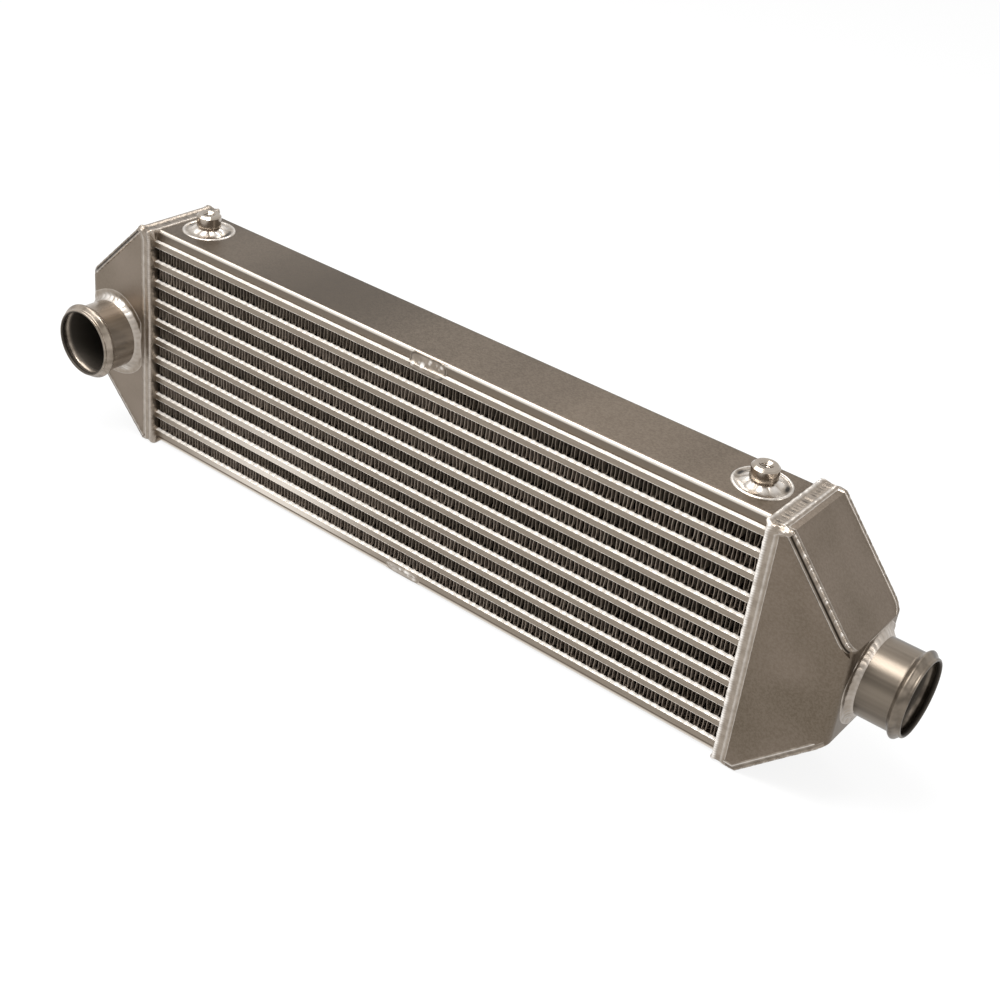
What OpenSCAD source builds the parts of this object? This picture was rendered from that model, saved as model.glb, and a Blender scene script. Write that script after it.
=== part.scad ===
// Bar-and-plate air-to-air intercooler with fabricated end tanks.
// X runs along the core towards the outlet tank, Y from the front face to the rear, Z up.
// The origin is the centre of the flat underside.

/* [Core] */
// Length of the fin rows between the end bars
fin_len = 508; // [300:1:700]
// Depth of the bars and parting sheets, front to rear
core_d = 57; // [45:0.5:90]
// Number of ambient fin rows
rows = 10; // [7:1:10]
// Clear height of an ambient fin row
fin_h = 10.7; // [9:0.1:14]
// Height of the long bars that close a charge passage
bar_h = 3.6; // [2.4:0.1:8]
// Width of the long bars, front to rear
bar_w = 6; // [3:0.5:10]
// Thickness of a parting sheet
sheet_t = 0.6; // [0.3:0.1:1.5]
// Width of the end bars that close a fin row, along the core
end_bar_w = 10; // [6:0.5:16]

/* [Ambient fins] */
// Length of one full wave of the fin
fin_pitch = 5.9; // [5:0.1:10]
// Thickness of the fin strip
fin_t = 0.3; // [0.1:0.05:0.5]
// How far the fin stands back from the bars' faces
fin_setback = 2.6; // [0:0.1:6]
// Width of a flat crest between two bends
fin_crest = 2.2; // [1:0.1:2.4]

/* [Turbulators] */
// Length of one full wave of the turbulator
turb_pitch = 4.4; // [4:0.1:8]
// Thickness of the turbulator strip
turb_t = 0.3; // [0.1:0.05:0.5]
// Width of a flat crest between two bends
turb_crest = 1.7; // [0.8:0.1:1.8]
// Gap between the turbulator and the long bars
turb_gap = 0.5; // [0.2:0.1:2]

/* [Covers] */
// Thickness of the covers' sheet
cover_t = 2; // [1:0.1:2.4]
// How far the covers' flanges stand back from the bars
cover_setback = 2.3; // [0.5:0.1:6]
// Outer radius of the covers' bends
cover_r = 2.4; // [1:0.1:3]
// Height of the top cover above the last parting sheet
top_cover_h = 8.6; // [5:0.1:16]
// Height of the bottom cover below the first parting sheet
bottom_cover_h = 6.2; // [5:0.1:16]

/* [Tack welds] */
// Length of a tack weld along the core
tack_len = 31; // [10:1:60]
// Place of the top tack weld along the core, from the middle
top_tack_x = 1; // [-80:1:80]
// Place of the bottom tack weld along the core, from the middle
bottom_tack_x = -4; // [-80:1:80]
// How far a tack weld stands proud of the bar
tack_proud = 0.8; // [0.4:0.1:2]
// Height that a tack weld covers on the bar
tack_on_bar = 4.4; // [2:0.1:4.8]
// Height that the top tack weld covers on the cover's flange
top_tack_on_cover = 6; // [1.5:0.1:6.2]
// Height that the bottom tack weld covers on the cover's flange
bottom_tack_on_cover = 3.6; // [1.5:0.1:3.8]

/* [Core welds] */
// Width of the weld band round the core's end, along the core
band_w = 9.5; // [6:0.5:10]
// How far the weld band stands proud of the tank's sheets
band_proud = 0.7; // [0.3:0.1:2]
// Radius of the weld band's long edges
band_edge_r = 1.6; // [0.5:0.1:2.5]
// Radius of the weld band's four corners
band_corner_r = 3; // [1:0.5:5]
// How far the weld band's top stands above the top cover
band_rise = 0.7; // [0.5:0.1:5]

/* [Tank sheets] */
// Thickness of the tank sheets
tank_t = 3; // [2:0.1:4]
// Gap between the bars and the inside of a tank, front and rear
tank_clear = 2; // [0.5:0.1:8]
// Inner radius of the wrap sheet's two bends
wrap_r = 4; // [2:0.5:8]
// How far a seam bead stands proud of the sheets
seam_proud = 0.5; // [0.2:0.1:1]

/* [Inlet tank] */
// Length of the inlet tank from the fin rows
inlet_len = 66; // [64:0.5:110]
// Flat length of the inlet plates between the weld band and their bend
inlet_flat = 1.6; // [1.5:0.1:12]
// Height of the inlet tank's end face
inlet_end_h = 65; // [50:1:90]
// How far the middle of the inlet's end face lies below the tank's middle
inlet_end_drop = 0.15; // [-8:0.05:8]
// Distance from the inlet tank's end to the inlet pipe's axis
inlet_pipe_inset = 27.2; // [26.5:0.1:30]
// How far the inlet pipe's axis lies below the middle of the end face
inlet_pipe_drop = 6.5; // [-8:0.1:8]

/* [Outlet tank] */
// Length of the outlet tank from the fin rows
outlet_len = 67.5; // [50:0.5:110]
// Flat length of the outlet plates between the weld band and their bend
outlet_flat = 6.7; // [1.5:0.1:12]
// Height of the outlet tank's end face
outlet_end_h = 65; // [65:1:90]
// How far the middle of the outlet's end face lies below the tank's middle
outlet_end_drop = 3.65; // [-8:0.05:8]
// Place of the outlet pipe's axis, from the middle towards the rear
outlet_pipe_y = 5; // [-5:0.5:5]
// How far the outlet pipe's axis lies above the middle of the end face
outlet_pipe_rise = 1; // [-2:0.1:2]

/* [Hose pipes] */
// Outer diameter of the pipes
pipe_d = 51; // [44:0.5:51]
// Wall of the pipes
pipe_t = 2; // [1:0.1:3]
// Length of the outlet pipe outside its tank
outlet_pipe_len = 33.7; // [25:0.1:80]
// Length of the inlet pipe outside its tank
inlet_pipe_len = 31.8; // [25:0.1:80]
// How far the rolled bead stands proud of the pipe
bead_h = 2.8; // [1:0.1:4]
// Width of the rolled bead
bead_w = 6.4; // [4:0.1:9]
// Distance from the pipe's rim to the middle of the bead
bead_back = 5.5; // [5:0.1:10]
// Clearance between a pipe and its hole in the sheet
pipe_gap = 0.2; // [0.1:0.05:0.5]
// How far a pipe reaches inside its sheet
pipe_in = 1; // [0.5:0.5:4]
// Leg of the pipes' welds
pipe_weld = 3.6; // [2:0.1:4]

/* [Mounting bosses] */
// Distance from the fin rows' ends to the bosses
boss_inset = 23; // [22:0.5:120]
// Place of the bosses, from the middle towards the rear
boss_y = 1.5; // [-5:0.5:5]
// Diameter of a boss
boss_d = 17.5; // [15:0.5:22]
// Height of a boss above the cover
boss_h = 12.7; // [9:0.1:30]
// Diameter of the neck under a boss
boss_neck_d = 14; // [11:0.5:15]
// Height of the neck under a boss
boss_neck_h = 4.2; // [3:0.1:5]
// Width of the bevel round a boss's top
boss_bevel = 1.6; // [0.5:0.1:2]
// Core diameter of the thread in a boss
thread_d = 6.8; // [5:0.1:8]
// Depth of the countersink at the thread's mouth
sink_h = 1.2; // [0.4:0.1:1.4]
// Solid floor left under the thread
thread_floor = 1.7; // [1:0.1:4]
// Height of a boss's weld on the neck
boss_weld_h = 2.8; // [2:0.1:3]
// Width of a boss's weld on the cover
boss_weld_w = 7; // [4:0.5:8]

/* [Hidden] */
passage_h = bar_h + 2 * sheet_t;
row_step = fin_h + passage_h;
core_z0 = bottom_cover_h;
core_z1 = core_z0 + rows * row_step + passage_h;
cover_z = core_z1 + top_cover_h;
core_len = fin_len + 2 * end_bar_w;
cover_d = core_d - 2 * cover_setback;
fin_d = core_d - 2 * fin_setback;
tank_d = core_d + 2 * (tank_clear + tank_t);
band_d = tank_d + 2 * band_proud;
band_z = cover_z + band_rise;
tank_z0 = band_proud;
tank_z1 = band_z - band_proud;
tank_mid = band_z / 2;
tank_r = wrap_r + tank_t;
seam_r = tank_t + seam_proud;
inlet_end_z = tank_mid - inlet_end_drop;
outlet_end_z = tank_mid - outlet_end_drop;
inlet_pipe_z = inlet_end_z - inlet_pipe_drop;
outlet_pipe_z = outlet_end_z + outlet_pipe_rise;
pipe_r = pipe_d / 2;
bore_r = pipe_r - pipe_t;
edge_pieces = 48;
round_pieces = 96;
cut = 1;

sheet_colour = [0.50, 0.46, 0.41];
bar_colour = [0.75, 0.71, 0.66];
fin_colour = [0.50, 0.47, 0.42];
weld_colour = [0.78, 0.75, 0.71];
tube_colour = [0.72, 0.69, 0.65];

function two(i) = str(i < 10 ? "0" : "", i);

// Directions of extrusion and placing

// Extrudes a shape drawn in Y and Z along X, from x0.
module along_x(x0, length) {
    translate([x0, 0, 0]) rotate([90, 0, 90]) linear_extrude(length) children();
}

// Extrudes a shape drawn in X and Z along Y, centred on the middle plane.
module across_y(width) {
    rotate([90, 0, 0]) linear_extrude(width, center = true) children();
}

// The tanks are drawn for the outlet, with x = 0 at the fin rows' end.
module at_outlet() {
    translate([fin_len / 2, 0, 0]) children();
}

module at_inlet() {
    translate([-fin_len / 2, 0, 0]) mirror([1, 0, 0]) children();
}

// The pipes are drawn along Z, with z = 0 on the tank's face.
module at_outlet_pipe() {
    at_outlet() translate([outlet_len, outlet_pipe_y, outlet_pipe_z])
        rotate([0, 90, 0]) children();
}

module at_inlet_pipe() {
    at_inlet() translate([inlet_len - inlet_pipe_inset, -tank_d / 2, inlet_pipe_z])
        rotate([90, 0, 0]) children();
}

module at_boss(side) {
    translate([side * (fin_len / 2 - boss_inset), boss_y, cover_z]) children();
}

// Covers

// Section of a folded channel, web on top, flanges down to z = 0.
module channel_section(w, h) {
    difference() {
        union() {
            translate([-w / 2, 0]) square([w, h - cover_r]);
            translate([cover_r - w / 2, 0]) square([w - 2 * cover_r, h]);
            for (x = [cover_r - w / 2, w / 2 - cover_r])
                translate([x, h - cover_r]) circle(cover_r, $fn = edge_pieces);
        }
        translate([cover_t - w / 2, -cut]) square([w - 2 * cover_t, h - cover_t + cut]);
    }
}

module cover(h) {
    along_x(-fin_len / 2, fin_len) channel_section(cover_d, h);
}

module top_cover() {
    color(sheet_colour) translate([0, 0, core_z1]) cover(top_cover_h);
}

module bottom_cover() {
    color(sheet_colour) translate([0, 0, core_z0]) mirror([0, 0, 1]) cover(bottom_cover_h);
}

// Core

function row_z(i) = core_z0 + (i - 1) * row_step;

// Two parting sheets and the two long bars brazed between them.
module charge_passage(i) {
    color(bar_colour)
        translate([-core_len / 2, -core_d / 2, row_z(i)]) {
            cube([core_len, core_d, sheet_t]);
            translate([0, 0, sheet_t + bar_h]) cube([core_len, core_d, sheet_t]);
            for (y = [0, core_d - bar_w])
                translate([0, y, sheet_t]) cube([core_len, bar_w, bar_h]);
        }
}

// Middle line of a corrugation with flat crests and leaning walls.
function wave_line(length, pitch, h, crest) =
    let (n = floor(length / pitch), x0 = -n * pitch / 2, half = pitch / 2)
    concat([[x0, -h / 2]], [
        for (k = [0 : n - 1])
            let (x = x0 + k * pitch)
            each [
                [x + crest / 2, -h / 2],
                [x + half - crest / 2, h / 2],
                [x + half + crest / 2, h / 2],
                [x + pitch - crest / 2, -h / 2]
            ]
    ], [[x0 + n * pitch, -h / 2]]);

function unit(v) = v / norm(v);
function left_of(v) = [-v.y, v.x];

// Point of a line moved sideways by s, square to its two neighbouring pieces.
function beside(line, k, s) =
    let (last = len(line) - 1,
         a = unit(line[max(k, 1)] - line[max(k, 1) - 1]),
         b = unit(line[min(k, last - 1) + 1] - line[min(k, last - 1)]),
         m = unit(left_of(a) + left_of(b)))
    line[k] + m * s / (m * left_of(a));

// Corrugated strip of thickness t whose crests reach from 0 to h.
module corrugation(length, pitch, h, t, crest) {
    line = wave_line(length, pitch, h - t, crest);
    last = len(line) - 1;
    translate([0, h / 2])
        polygon(concat(
            [for (k = [0 : last]) beside(line, k, t / 2)],
            [for (k = [last : -1 : 0]) beside(line, k, -t / 2)]));
}

// One corrugated strip, open from front to rear.
module ambient_fin(i) {
    color(fin_colour)
        translate([0, 0, row_z(i) + passage_h])
            across_y(fin_d) corrugation(fin_len, fin_pitch, fin_h, fin_t, fin_crest);
}

// Corrugated strip inside a charge passage, open along the core.
module turbulator(i) {
    color(fin_colour)
        translate([0, 0, row_z(i) + sheet_t])
            along_x(-core_len / 2, core_len)
                corrugation(core_d - 2 * (bar_w + turb_gap), turb_pitch, bar_h, turb_t,
                    turb_crest);
}

// Bars that close one end of every fin row.
module end_bars(side) {
    color(bar_colour)
        for (i = [1 : rows])
            translate([side * (fin_len + end_bar_w) / 2, 0, row_z(i) + passage_h + fin_h / 2])
                cube([end_bar_w, core_d, fin_h], center = true);
}

// Weld that fills the step between a cover's flange and the next bar, drawn for the front,
// with z = 0 between the two and the bar above.
module tack_section(on_cover) {
    y_bar = core_d / 2;
    y_flange = cover_d / 2;
    polygon([
        [-y_bar, 0], [-y_flange, 0], [-y_flange, -on_cover],
        [-y_flange - tack_proud / 2, -on_cover],
        [-y_flange - tack_proud, -on_cover * 0.8],
        [-y_bar - tack_proud, -on_cover * 0.3],
        [-y_bar - tack_proud, tack_on_bar * 0.75],
        [-y_bar - tack_proud / 2, tack_on_bar],
        [-y_bar, tack_on_bar]
    ]);
}

module tack_weld(x, on_cover) {
    color(weld_colour) along_x(x - tack_len / 2, tack_len) tack_section(on_cover);
}

module top_tack_weld() {
    translate([0, 0, core_z1]) mirror([0, 0, 1]) tack_weld(top_tack_x, top_tack_on_cover);
}

module bottom_tack_weld() {
    translate([0, 0, core_z0]) tack_weld(bottom_tack_x, bottom_tack_on_cover);
}

// Tanks

// Outline of a tank seen from above, drawn in by inset, its mouth at the weld band.
module tank_plan(length, inset) {
    r = tank_r - inset;
    half = tank_d / 2 - inset;
    end = length - inset;
    translate([band_w, -half]) square([end - r - band_w, 2 * half]);
    translate([band_w, r - half]) square([end - band_w, 2 * (half - r)]);
    for (y = [r - half, half - r])
        translate([end - r, y]) circle(r, $fn = edge_pieces);
}

// Slope of a plate that falls by drop from the bend to the end face.
function slope_of(length, neck, drop) = atan2(drop, length - neck);

// Side outline of a tank, its top and bottom plates drawn in by inset.
module tank_side(length, neck, z0, z1, inset) {
    up = slope_of(length, neck, tank_z1 - z1);
    down = slope_of(length, neck, z0 - tank_z0);
    polygon([
        [0, tank_z0 + inset], [neck - inset * tan(down / 2), tank_z0 + inset],
        [length, z0 + inset / cos(down)], [length, z1 - inset / cos(up)],
        [neck - inset * tan(up / 2), tank_z1 - inset], [0, tank_z1 - inset]
    ]);
}

module tank_body(length) {
    linear_extrude(band_z) tank_plan(length, 0);
}

// Front, end and rear in one folded sheet, standing between the two plates.
module wrap_sheet(length, neck, z0, z1) {
    difference() {
        intersection() {
            tank_body(length);
            across_y(band_d) tank_side(length, neck, z0, z1, tank_t);
        }
        translate([0, 0, -cut]) linear_extrude(band_z + 2 * cut) {
            tank_plan(length, tank_t);
            translate([band_w - cut, tank_t - tank_d / 2])
                square([2 * cut, tank_d - 2 * tank_t]);
        }
    }
}

// Top or bottom plate with its bend, laid over the wrap sheet's edges.
module tank_plate(length, neck, z0, z1, top) {
    intersection() {
        tank_body(length);
        across_y(tank_d - 2 * tank_t)
            difference() {
                tank_side(length, neck, z0, z1, 0);
                tank_side(length, neck, z0, z1, tank_t);
                translate([0, top ? 0 : tank_mid]) square([length, tank_mid]);
            }
    }
}

// Section of a seam bead from the corner where the plate meets the wrap sheet: x outwards,
// y square to the plate. Points 0, 1 and 9 lie on the two sheets, 2 and 8 are the toes and
// 3 to 7 the round face. With toes it laps onto both sheets.
function seam_ring(r, toes) =
    let (t = tank_t, toe = sqrt(seam_r * seam_r - t * t),
         near = r > t ? t : r / 2, far = r > t ? (t + r) / 2 : 0.8 * r)
    concat(
        [[0, 0], [near, 0], toes ? [t, -toe] : [far, 0]],
        [for (a = [0 : 22.5 : 90]) r * [cos(a), sin(a)]],
        [toes ? [-toe, t] : [0, far], [0, near]]);

// One seam bead along a plate's front edge, from the weld band to a round end at the corner.
// Each station holds its x, its height, the lean of its section, the stretch and the ring.
module seam_bead(length, neck, slope) {
    full = seam_ring(seam_r, true);
    end_x = length - tank_r;
    tip = seam_r * cos(slope);
    function fall(x) = (neck - x) * tan(slope);
    function station(x, ring) = [x, fall(x), 0, 1 / cos(slope), ring];
    stations = [
        [band_w, 0, 0, 1, full],
        [neck, 0, tan(slope / 2), 1, full],
        station(end_x, full),
        station(end_x + tip * 0.3, seam_ring(seam_r, false)),
        station(end_x + tip * 0.8, seam_ring(seam_r * 0.75, false)),
        station(end_x + tip, seam_ring(seam_r * 0.4, false))
    ];
    n = len(full);
    last = (len(stations) - 1) * n;
    start_faces = [[5, 6, 7, 9, 0, 1, 3, 4], [1, 2, 3], [7, 8, 9]];
    end_face = [for (j = [5, 4, 3, 2, 1, 0, 9, 8, 7, 6]) last + j];
    polyhedron(
        [for (s = stations, p = s[4])
            let (v = p.y - tank_t)
            [s[0] + v * s[2], tank_t - tank_d / 2 - p.x, s[1] + v * s[3]]],
        concat(
            start_faces,
            [for (k = [0 : n : last - n], j = [0 : n - 1])
                let (a = k + j, b = k + (j + 1) % n)
                each [[a, a + n, b + n], [a, b + n, b]]],
            [end_face]));
}

// Beads that fill the open corner along both long edges of a plate.
module plate_seams(length, neck, z0, z1, top) {
    slope = slope_of(length, neck, top ? tank_z1 - z1 : z0 - tank_z0);
    translate([0, 0, top ? tank_z1 : tank_z0]) mirror([0, 0, top ? 0 : 1]) {
        seam_bead(length, neck, slope);
        mirror([0, 1, 0]) seam_bead(length, neck, slope);
    }
}

// Rectangle with round corners, from its lower left corner.
module round_rect(w, h, r) {
    translate([r, 0]) square([w - 2 * r, h]);
    translate([0, r]) square([w, h - 2 * r]);
    for (x = [r, w - r], y = [r, h - r])
        translate([x, y]) circle(r, $fn = edge_pieces);
}

// Heavy weld band that closes the step between the core's end and a tank.
module core_weld() {
    difference() {
        intersection() {
            along_x(0, band_w)
                translate([-band_d / 2, 0]) round_rect(band_d, band_z, band_corner_r);
            linear_extrude(band_z)
                translate([0, -band_d / 2]) round_rect(band_w, band_d, band_edge_r);
        }
        translate([-cut, -core_d / 2, core_z0])
            cube([band_w + 2 * cut, core_d, core_z1 - core_z0]);
    }
}

module inlet_sizes(part) {
    z0 = inlet_end_z - inlet_end_h / 2;
    z1 = inlet_end_z + inlet_end_h / 2;
    at_inlet() tank_piece(part, inlet_len, band_w + inlet_flat, z0, z1);
}

module outlet_sizes(part) {
    z0 = outlet_end_z - outlet_end_h / 2;
    z1 = outlet_end_z + outlet_end_h / 2;
    at_outlet() tank_piece(part, outlet_len, band_w + outlet_flat, z0, z1);
}

module tank_piece(part, length, neck, z0, z1) {
    if (part == "wrap") wrap_sheet(length, neck, z0, z1);
    if (part == "top_plate") tank_plate(length, neck, z0, z1, true);
    if (part == "bottom_plate") tank_plate(length, neck, z0, z1, false);
    if (part == "top_seams") plate_seams(length, neck, z0, z1, true);
    if (part == "bottom_seams") plate_seams(length, neck, z0, z1, false);
}

module inlet_wrap() {
    color(sheet_colour) difference() {
        inlet_sizes("wrap");
        at_inlet_pipe() pipe_hole();
    }
}

module outlet_wrap() {
    color(sheet_colour) difference() {
        outlet_sizes("wrap");
        at_outlet_pipe() pipe_hole();
    }
}

module inlet_top_plate() { color(sheet_colour) inlet_sizes("top_plate"); }
module inlet_bottom_plate() { color(sheet_colour) inlet_sizes("bottom_plate"); }
module outlet_top_plate() { color(sheet_colour) outlet_sizes("top_plate"); }
module outlet_bottom_plate() { color(sheet_colour) outlet_sizes("bottom_plate"); }
module inlet_top_seams() { color(weld_colour) inlet_sizes("top_seams"); }
module inlet_bottom_seams() { color(weld_colour) inlet_sizes("bottom_seams"); }
module outlet_top_seams() { color(weld_colour) outlet_sizes("top_seams"); }
module outlet_bottom_seams() { color(weld_colour) outlet_sizes("bottom_seams"); }
module inlet_core_weld() { color(weld_colour) at_inlet() core_weld(); }
module outlet_core_weld() { color(weld_colour) at_outlet() core_weld(); }

// Pipes

// Tube with a rolled bead behind its rim, turned about its axis.
module hose_pipe(length) {
    bead_z = length - bead_back;
    bulge = [for (a = [0 : 15 : 180]) [sin(a), -cos(a)]];
    inner_h = 0.8 * bead_h;
    inner_w = bead_w - pipe_t;
    color(tube_colour)
        rotate_extrude($fn = round_pieces)
            polygon(concat(
                [[bore_r, -tank_t - pipe_in], [pipe_r, -tank_t - pipe_in]],
                [for (p = bulge) [pipe_r + p.x * bead_h, bead_z + p.y * bead_w / 2]],
                [[pipe_r, length], [bore_r, length]],
                [for (k = [len(bulge) - 1 : -1 : 0])
                    let (p = bulge[k])
                    [bore_r + p.x * inner_h, bead_z + p.y * inner_w / 2]]));
}

module pipe_hole() {
    translate([0, 0, -tank_r])
        cylinder(h = 2 * tank_r, r = pipe_r + pipe_gap, $fn = round_pieces);
}

// Fillet round a pipe, deep enough to follow the tank's face round its corner.
module pipe_fillet() {
    edge = pipe_r + pipe_weld;
    rotate_extrude($fn = round_pieces)
        polygon([
            [pipe_r, -tank_t], [edge, -tank_t], [edge, 0],
            [pipe_r + pipe_weld * 0.86, pipe_weld * 0.42],
            [pipe_r + pipe_weld * 0.5, pipe_weld * 0.8],
            [pipe_r, pipe_weld]
        ]);
}

module inlet_pipe() { at_inlet_pipe() hose_pipe(inlet_pipe_len); }
module outlet_pipe() { at_outlet_pipe() hose_pipe(outlet_pipe_len); }

// The inlet's fillet ends flush with the tank's end.
module inlet_pipe_weld() {
    color(weld_colour)
        difference() {
            intersection() {
                at_inlet_pipe() pipe_fillet();
                at_inlet() translate([band_w, -tank_d, 0])
                    cube([inlet_len + band_proud - band_w, tank_d, band_z]);
            }
            at_inlet() tank_body(inlet_len);
        }
}

// The outlet's fillet ends flush with the tank's rear.
module outlet_pipe_weld() {
    color(weld_colour)
        difference() {
            intersection() {
                at_outlet_pipe() pipe_fillet();
                at_outlet() translate([0, -band_d / 2, 0])
                    cube([2 * outlet_len, band_d, band_z]);
            }
            at_outlet() tank_body(outlet_len);
        }
}

// Bosses

module boss() {
    sink_z = boss_h - sink_h;
    color(tube_colour)
        difference() {
            rotate_extrude($fn = edge_pieces)
                polygon([
                    [0, 0], [boss_neck_d / 2, 0], [boss_neck_d / 2, boss_neck_h - 1],
                    [boss_d / 2, boss_neck_h], [boss_d / 2, boss_h - boss_bevel],
                    [boss_d / 2 - boss_bevel, boss_h], [0, boss_h]
                ]);
            translate([0, 0, thread_floor])
                cylinder(h = boss_h, d = thread_d, $fn = edge_pieces);
            translate([0, 0, sink_z])
                cylinder(h = sink_h + cut, d1 = thread_d, d2 = thread_d + 2 * (sink_h + cut),
                    $fn = edge_pieces);
        }
}

// Hollow cone of weld metal from the neck out to the cover.
module boss_weld() {
    neck_r = boss_neck_d / 2;
    color(weld_colour)
        rotate_extrude($fn = edge_pieces)
            polygon([
                [neck_r, 0], [neck_r + boss_weld_w, 0],
                [neck_r + boss_weld_w * 0.6, boss_weld_h * 0.35],
                [neck_r + boss_weld_w * 0.25, boss_weld_h * 0.7],
                [neck_r, boss_weld_h]
            ]);
}

module left_boss() { at_boss(-1) boss(); }
module right_boss() { at_boss(1) boss(); }
module left_boss_weld() { at_boss(-1) boss_weld(); }
module right_boss_weld() { at_boss(1) boss_weld(); }

top_cover();
bottom_cover();
for (i = [1 : rows + 1]) {
    charge_passage(i);
    turbulator(i);
}
for (i = [1 : rows])
    ambient_fin(i);
end_bars(-1);  // left_end_bars
end_bars(1);  // right_end_bars
inlet_core_weld();
outlet_core_weld();
inlet_wrap();
inlet_top_plate();
inlet_bottom_plate();
outlet_wrap();
outlet_top_plate();
outlet_bottom_plate();
inlet_top_seams();
inlet_bottom_seams();
outlet_top_seams();
outlet_bottom_seams();
inlet_pipe();
inlet_pipe_weld();
outlet_pipe();
outlet_pipe_weld();
left_boss();
left_boss_weld();
right_boss();
right_boss_weld();
top_tack_weld();
bottom_tack_weld();
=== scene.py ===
import math

import bmesh
import bpy
import numpy as np
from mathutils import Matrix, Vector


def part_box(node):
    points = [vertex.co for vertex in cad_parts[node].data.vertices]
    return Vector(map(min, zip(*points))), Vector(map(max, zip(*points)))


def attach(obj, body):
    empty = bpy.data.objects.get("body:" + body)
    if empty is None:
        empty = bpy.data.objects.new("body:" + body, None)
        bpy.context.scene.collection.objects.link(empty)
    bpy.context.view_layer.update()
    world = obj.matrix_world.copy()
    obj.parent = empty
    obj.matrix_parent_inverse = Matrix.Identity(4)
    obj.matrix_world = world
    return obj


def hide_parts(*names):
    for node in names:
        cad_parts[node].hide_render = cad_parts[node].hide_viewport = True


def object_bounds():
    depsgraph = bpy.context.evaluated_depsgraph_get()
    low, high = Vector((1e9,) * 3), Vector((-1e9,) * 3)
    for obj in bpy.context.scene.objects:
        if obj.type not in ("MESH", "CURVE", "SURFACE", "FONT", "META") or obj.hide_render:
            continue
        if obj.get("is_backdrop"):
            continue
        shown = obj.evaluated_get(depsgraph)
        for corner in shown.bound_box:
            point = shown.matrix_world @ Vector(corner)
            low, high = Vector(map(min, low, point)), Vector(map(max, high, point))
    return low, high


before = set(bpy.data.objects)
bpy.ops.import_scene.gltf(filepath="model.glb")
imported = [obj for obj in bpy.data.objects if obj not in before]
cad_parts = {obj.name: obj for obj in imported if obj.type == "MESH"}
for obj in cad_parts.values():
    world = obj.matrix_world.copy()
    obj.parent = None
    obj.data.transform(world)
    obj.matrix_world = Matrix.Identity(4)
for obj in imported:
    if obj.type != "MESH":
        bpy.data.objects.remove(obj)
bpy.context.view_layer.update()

# Sizes, in millimetres, in the frame's own axes: X along the core, Y to the rear, Z up

MM = 0.001
SHEET = 3.0
WRAP_RADIUS = 7.0
BAND_RADIUS = 3.0
FIN_PITCH = 5.9
PIPE_WALL = 2.0
PIPE_BEAD = 2.8
THREAD_PITCH = 1.25
rng = np.random.default_rng(7)


def box_mm(node):
    """Lowest and highest corner of a CAD node, in millimetres."""
    low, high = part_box(node)
    return np.array(low) / MM, np.array(high) / MM


def vertices_mm(node):
    """All the vertices of a CAD node, in millimetres."""
    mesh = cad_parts[node].data
    flat = np.empty(3 * len(mesh.vertices), np.float32)
    mesh.vertices.foreach_get("co", flat)
    return flat.reshape(-1, 3).astype(float) / MM


# Meshes


def add_faces(grid, start, ring):
    """Corner numbers and corner counts of the quads between the neighbours of a grid. The
    last column joins the first. In a ring the last row does so too, and else caps close it."""
    rows, columns = grid.shape[:2]
    index = start + np.arange(rows * columns).reshape(rows, columns)
    wide = np.hstack([index, index[:, :1]])
    wide = np.vstack([wide, wide[:1]]) if ring else wide
    quads = np.stack([wide[:-1, :-1], wide[1:, :-1], wide[1:, 1:], wide[:-1, 1:]], -1)
    corners = [quads.ravel()]
    counts = [np.full(quads.shape[0] * quads.shape[1], 4)]
    if not ring:
        corners += [index[0], index[-1, ::-1]]
        counts += [[columns], [columns]]
    return np.concatenate(corners), np.concatenate(counts)


def surface(name, grids, crease, ring=False, painted_light_and_dark=None):
    """Object made of grids of points [u, v, xyz] in millimetres. Each grid is a section, v,
    carried along u, and closed into a ring or by two caps. Edges sharper than crease degrees
    stay sharp. The painted_light_and_dark levels hold for each grid the weld's painted tone,
    from below 0 for painted shade and darker patches up to 1 for a painted highlight, and
    become the attribute that the weld metal reads."""
    points, corners, counts, start = [], [], [], 0
    for grid in grids:
        c, n = add_faces(grid, start, ring)
        points.append(grid.reshape(-1, 3))
        corners.append(c)
        counts.append(n)
        start += len(points[-1])
    points = np.concatenate(points) * MM
    corners = np.concatenate(corners)
    counts = np.concatenate(counts)
    mesh = bpy.data.meshes.new(name)
    mesh.vertices.add(len(points))
    mesh.vertices.foreach_set("co", points.astype(np.float32).ravel())
    mesh.loops.add(len(corners))
    mesh.loops.foreach_set("vertex_index", corners.astype(np.int32))
    mesh.polygons.add(len(counts))
    mesh.polygons.foreach_set("loop_start", (np.cumsum(counts) - counts).astype(np.int32))
    mesh.update(calc_edges=True)
    mesh.validate()
    if painted_light_and_dark:
        attribute = mesh.attributes.new("painted_light_and_dark", "FLOAT", "POINT")
        levels = np.concatenate([level.ravel() for level in painted_light_and_dark])
        attribute.data.foreach_set("value", levels.astype(np.float32))
    work = bmesh.new()
    work.from_mesh(mesh)
    bmesh.ops.recalc_face_normals(work, faces=work.faces)
    work.to_mesh(mesh)
    work.free()
    mesh.polygons.foreach_set("use_smooth", np.ones(len(mesh.polygons), bool))
    mesh.set_sharp_from_angle(angle=math.radians(crease))
    piece = bpy.data.objects.new(name, mesh)
    bpy.context.scene.collection.objects.link(piece)
    return piece


def dress(piece, material, slot, *nodes):
    """Gives a new piece its material, and lets it ride and stand for its nodes. Its slot is
    not used.
    """
    piece.data.materials.append(material)
    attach(piece, "root")
    if nodes:
        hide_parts(*nodes)


def wobble(s, length, count=5):
    """Smooth seeded waviness from -1 to 1: sines whose wavelengths spread round length."""
    spread = length * rng.uniform(0.5, 1.8, count)
    phase = rng.uniform(0, 2 * math.pi, count)
    return np.sin(2 * math.pi * np.asarray(s)[..., None] / spread + phase).sum(-1) / count


def hump(v, centre, width):
    """Smooth bump of height 1."""
    return np.exp(-(((v - centre) / width) ** 2))


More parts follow.
